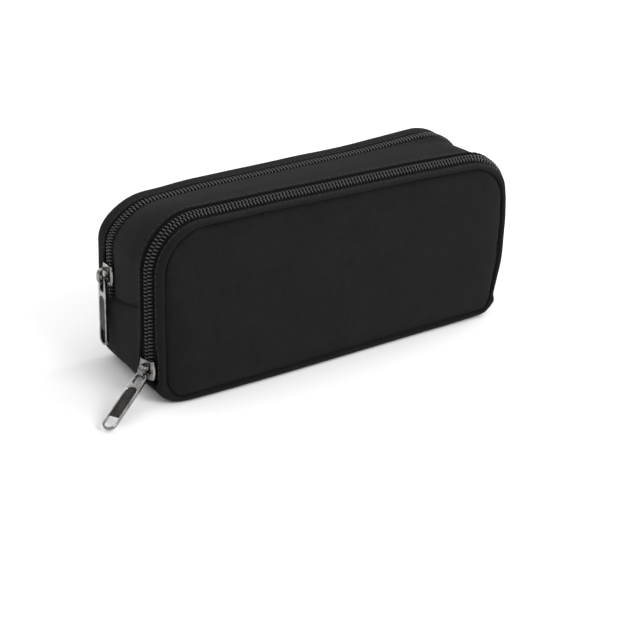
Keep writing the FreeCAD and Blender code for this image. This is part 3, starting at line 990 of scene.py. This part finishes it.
def pull(name, frame_matrix):
    """The pull: a polished frame with its loop, a sunk panel and a round-ended hole at the tip."""
    half = PULL_WIDTH / 2
    tip = half - PULL_LENGTH
    inside = half - PULL_RIM
    sides = [(half - 0.6 * math.exp(z / 4.0), z) for z in (-0.9, -2.5, -4.5, -7.0, -10.0, -14.0)]
    rim = [(2.4, 0.75), (2.8, 0.2)] + sides
    rim += arc_points((0, tip), half, 0, -180, 25)
    rim += [(-y, z) for y, z in reversed(sides)] + [(-2.8, 0.2), (-2.4, 0.75)]
    loop = slot_outline(2.1, -PULL_LOOP_END, -0.75, 1.5)
    window = (arc_points((0, tip), inside, 180, 360, 17)
              + arc_points((0, -PULL_RECESS_TOP - inside), inside, 0, 180, 17))
    frame_part = stamped(name, [rim, loop, window], -PULL_THICK / 2, PULL_THICK / 2, PULL_EDGE,
                         PULL_MATERIAL)
    under = inside + 0.25
    sunk = [(-under, tip + PULL_HOLE_RUN), (under, tip + PULL_HOLE_RUN)]
    sunk += arc_points((0, -PULL_RECESS_TOP - inside), under, 0, 180, 17)
    panel_part = stamped(name + "_panel", [sunk], -PANEL_THICK / 2, PANEL_THICK / 2, 0.1,
                         ENAMEL_MATERIAL)
    whole = join(name, [frame_part, panel_part])
    shade(whole)
    whole.data.transform(frame_matrix)
    return whole


# ---------------------------------------------------------------- making and riding

def stand_for(piece, nodes):
    """The piece is shown in place of these nodes of the frame."""
    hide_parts(*nodes)
    return piece


def on_body(piece, body, slot, *nodes):
    """The piece is rigid and goes with one body."""
    stand_for(piece, nodes)
    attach(piece, body)


def across_fold(piece, flap, low, high, slot, *nodes):
    """The piece is shown in place of these nodes, and its placement is baked into its mesh."""
    stand_for(piece, nodes)
    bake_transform(piece)


# Each flap, with a low and a high height on the cloth beside it.
FRONT_FOLD = ("front_flap", FRONT_CHAIN_LOW, FRONT_SPLIT - 4.0)
REAR_FOLD = ("main_flap", CROSS_SEAM, REAR_SPLIT - 4.0)
BACK_FOLD = ("main_flap", CROSS_SEAM - 3, CROSS_SEAM + 3)


def strip_places(low, size=STRIP_STEP):
    """Places from this height on the left end, over the top, to the same on the right."""
    return steps(left_at(low), right_at(low), size)


def ring_all(size=STRIP_STEP):
    count = int(LOOP / size)
    return [LOOP * i / count for i in range(count)]


def front_panel():
    pad, held = panel("front_panel_pad", seam_depth, FRONT + 1.7, 1.0, 2.4, FABRIC_MATERIAL)
    inflate(pad, held, cap=0.9)
    subdivide(pad)
    on_body(pad, "front_flap", "outer_fabric", "front_panel", "front_panel_foam")

    lining, _ = panel("front_pocket_lining_cloth", lambda along: POCKET_LINING_DEPTH,
                      FRONT + 2.65, LINING_THICK, 0.0, LINING_MATERIAL)
    on_body(lining, "front_flap", "lining", "front_pocket_lining")

    band = rim_strip("front_band_piping", ring_all(), front_band_section, FABRIC_MATERIAL, True)
    across_fold(band, FRONT_FOLD[0], 4.0, FRONT_FOLD[2], "outer_fabric",
                "front_band", "front_band_lower")


def mid_gusset():
    start, end = left_at(CROSS_SEAM), right_at(CROSS_SEAM)

    def skew(along, y):
        past_left = smooth(along, start, start + GUSSET_FADE)
        before_right = smooth(end - along, 0, GUSSET_FADE)
        return cross_rise(y) * (before_right - past_left)

    pad = rim_strip("mid_gusset_pad", strip_places(CROSS_SEAM), gusset_section,
                    FABRIC_MATERIAL, skew=skew)
    on_body(pad, "case_body", "outer_fabric", "mid_gusset", "mid_gusset_foam")

    lining = rim_strip("mid_gusset_lining_cloth", strip_places(CROSS_SEAM, LINING_STEP),
                       lining_section(-12.0, 8.8), LINING_MATERIAL)
    on_body(lining, "case_body", "lining", "mid_gusset_lining")


def base_gusset():
    start, end = right_at(CROSS_SEAM), LOOP + left_at(CROSS_SEAM)

    def skew(along, y):
        past_right = smooth(along, start, start + BASE_FADE)
        before_left = smooth(along, end - BASE_FADE, end)
        return cross_rise(y) * (past_right - 1 + before_left)

    pad = rim_strip("base_gusset_pad", steps(start, end, STRIP_STEP), base_section,
                    FABRIC_MATERIAL, skew=skew)
    on_body(pad, "case_body", "outer_fabric", "base_gusset", "base_gusset_foam")

    lining = rim_strip("base_gusset_lining_cloth", steps(start, end, LINING_STEP),
                       lining_section(-12.0, 24.5), LINING_MATERIAL)
    on_body(lining, "case_body", "lining", "base_gusset_lining")


def divider():
    wall, _ = panel("divider_cloth", lambda along: DIVIDER_DEPTH, DIVIDER_FRONT, DIVIDER_THICK,
                    0.0, LINING_MATERIAL)
    on_body(wall, "case_body", "lining", "divider")


def back_panel():
    """One panel of cloth, shown in place of both the lower and the upper part of the back."""
    def depth(along):
        return 1.4 + 1.5 * smooth(along, left_at(34), left_at(42))

    pad, held = panel("back_panel_pad", depth, BACK, 2.5, 0.7, FABRIC_MATERIAL)
    inflate(pad, held, cap=0.8)
    subdivide(pad)
    across_fold(pad, *BACK_FOLD, "outer_fabric",
                "back_panel_lower", "back_panel_lower_foam",
                "back_panel_upper", "back_panel_upper_foam")

    lining, _ = panel("back_panel_lining_cloth", lambda along: BACK_LINING_DEPTH,
                      BACK - 2.65, LINING_THICK, 0.0, LINING_MATERIAL)
    across_fold(lining, *BACK_FOLD, "lining", "back_panel_lower_lining", "back_panel_upper_lining")

    band = rim_strip("rear_band_piping", strip_places(CROSS_SEAM), rear_band_section,
                     FABRIC_MATERIAL)
    across_fold(band, *REAR_FOLD, "outer_fabric", "rear_band", "rear_band_left_end",
                "rear_band_right_end")


def zipper(name, chain, case_side, low, fold):
    """Both halves of a zipper: the case's goes with the case body, and the flap's stays where it is
    made.
    """
    case_nodes = [f"{name}_zipper_case_tape", f"{name}_zipper_case_coil"]
    flap_parts = ("", "_left_end", "_right_end")
    tape = rim_strip(f"{name}_zipper_case_tape_weave", strip_places(low),
                     tape_section(chain, case_side), TAPE_MATERIAL)
    on_body(tape, "case_body", "zipper_tape", case_nodes[0])
    teeth = coil(f"{name}_zipper_case_teeth", chain, case_side, low)
    on_body(teeth, "case_body", "zipper_coil", case_nodes[1])
    tape = rim_strip(f"{name}_zipper_flap_tape_weave", strip_places(low),
                     tape_section(chain, -case_side), TAPE_MATERIAL)
    across_fold(tape, *fold, "zipper_tape",
                *(f"{name}_zipper_flap_tape{part}" for part in flap_parts))
    teeth = coil(f"{name}_zipper_flap_teeth", chain, -case_side, low)
    across_fold(teeth, *fold, "zipper_coil",
                *(f"{name}_zipper_flap_coil{part}" for part in flap_parts))


def seams_and_stitches():
    row = stitching("front_gusset_stitching", gusset_stitch_front, CROSS_SEAM + 2)
    on_body(row, "case_body", "outer_fabric")
    row = stitching("rear_gusset_stitching", gusset_stitch_rear, CROSS_SEAM + 8)
    on_body(row, "case_body", "outer_fabric")
    row = stitching("front_band_stitching", band_stitch, FRONT_CHAIN_LOW + 4)
    across_fold(row, *FRONT_FOLD, "outer_fabric")
    row = stitching("rear_band_stitching", band_stitch_rear, CROSS_SEAM + 4)
    across_fold(row, *REAR_FOLD, "outer_fabric")


def sliders():
    pivot_height = FRONT_CHAIN["slider"] - PIVOT_DROP
    tip_rise = box_mm("front_pull")[0][2]
    slope = math.asin((pivot_height - tip_rise - PULL_THICK / 2 + 0.05) / PULL_LENGTH)
    droops = {"front": (FRONT_CHAIN, FRONT_HEADING, math.pi / 2 - slope), "rear": (REAR_CHAIN, 0, 0)}
    for name, (chain, heading, droop) in droops.items():
        on_body(slider_body(f"{name}_slider_shell", chain), f"{name}_slider", "slider_metal",
                f"{name}_slider_body")
        on_body(slider_bridge(f"{name}_slider_arch", chain), f"{name}_slider", "slider_metal",
                f"{name}_slider_bridge")
        on_body(pull(f"{name}_pull_tab", pull_frame(chain, heading, droop)), f"{name}_puller",
                "pull_metal", f"{name}_pull")


# ---------------------------------------------------------------- room, light and camera

FLOOR_DROP = 0.6


def studio():
    """A sky that is dark at the horizon and pale overhead, and a plain pale floor."""
    world = bpy.data.worlds.new("studio")
    bpy.context.scene.world = world
    world.use_nodes = True
    tree = world.node_tree
    height = tree.nodes.new("ShaderNodeSeparateXYZ")
    tree.links.new(tree.nodes.new("ShaderNodeTexCoord").outputs["Generated"], height.inputs[0])
    sky = tree.nodes.new("ShaderNodeValToRGB")
    tree.links.new(height.outputs["Z"], sky.inputs["Fac"])
    horizon, zenith = sky.color_ramp.elements
    horizon.position, horizon.color = 0.02, (0.10, 0.10, 0.105, 1)
    zenith.position, zenith.color = 0.55, (0.86, 0.86, 0.86, 1)
    tree.links.new(sky.outputs["Color"], tree.nodes["Background"].inputs["Color"])
    tree.nodes["Background"].inputs["Strength"].default_value = 1.15
    floor = Nodes("floor")
    floor.link(floor.ramp(floor.noise(6.0), 0.2, 0.8, (0.93,) * 3, (0.96,) * 3),
               floor.shader.inputs["Base Color"])
    floor.set(Roughness=0.9, Specular_IOR_Level=0.1)
    bpy.ops.mesh.primitive_plane_add(size=8.0, location=(0, 0, -FLOOR_DROP * MM))
    plane = bpy.context.object
    plane.name = "floor"
    plane.data.materials.append(floor.material)


def soft_light(name, place, aim, size, power):
    """A round area light, in metres and watts."""
    light = bpy.data.lights.new(name, "AREA")
    light.shape = "DISK"
    light.size = size
    light.energy = power
    obj = bpy.data.objects.new(name, light)
    obj.location = place
    obj.rotation_euler = (Vector(place) - Vector(aim)).to_track_quat("Z", "Y").to_euler()
    bpy.context.scene.collection.objects.link(obj)


def camera():
    """The viewpoint that the case was seen from, given round a target near its middle."""
    target = Vector((11.06, 16.2, 0.23)) * MM
    azimuth, elevation, roll = math.radians(-34.16), math.radians(25.569), math.radians(1.95)
    distance = 823.9 * MM
    back = Vector((math.sin(azimuth) * math.cos(elevation),
                   -math.cos(azimuth) * math.cos(elevation), math.sin(elevation)))
    turn = back.to_track_quat("Z", "Y").to_matrix().to_4x4() @ Matrix.Rotation(roll, 4, "Z")
    data = bpy.data.cameras.new("camera")
    data.sensor_width = 36.0
    data.lens = 90.958
    obj = bpy.data.objects.new("camera", data)
    obj.matrix_world = Matrix.Translation(target + back * distance) @ turn
    bpy.context.scene.collection.objects.link(obj)
    bpy.context.scene.camera = obj


camera()
studio()
soft_light("key", (0.9, 0.0, 0.9), (0, 0, 0.04), 0.5, 4.5)
soft_light("rim", (-0.3, 1.1, 0.6), (0, 0, 0.06), 0.5, 1.5)
soft_light("front", (0.35, -1.2, 0.95), (0, 0, 0.04), 0.8, 11.0)
bpy.context.scene.view_settings.view_transform = "Standard"

front_panel()
mid_gusset()
base_gusset()
divider()
back_panel()
zipper("front", FRONT_CHAIN, 1, FRONT_CHAIN_LOW, FRONT_FOLD)
zipper("rear", REAR_CHAIN, -1, CROSS_SEAM, REAR_FOLD)
seams_and_stitches()
sliders()

bpy.context.view_layer.update()
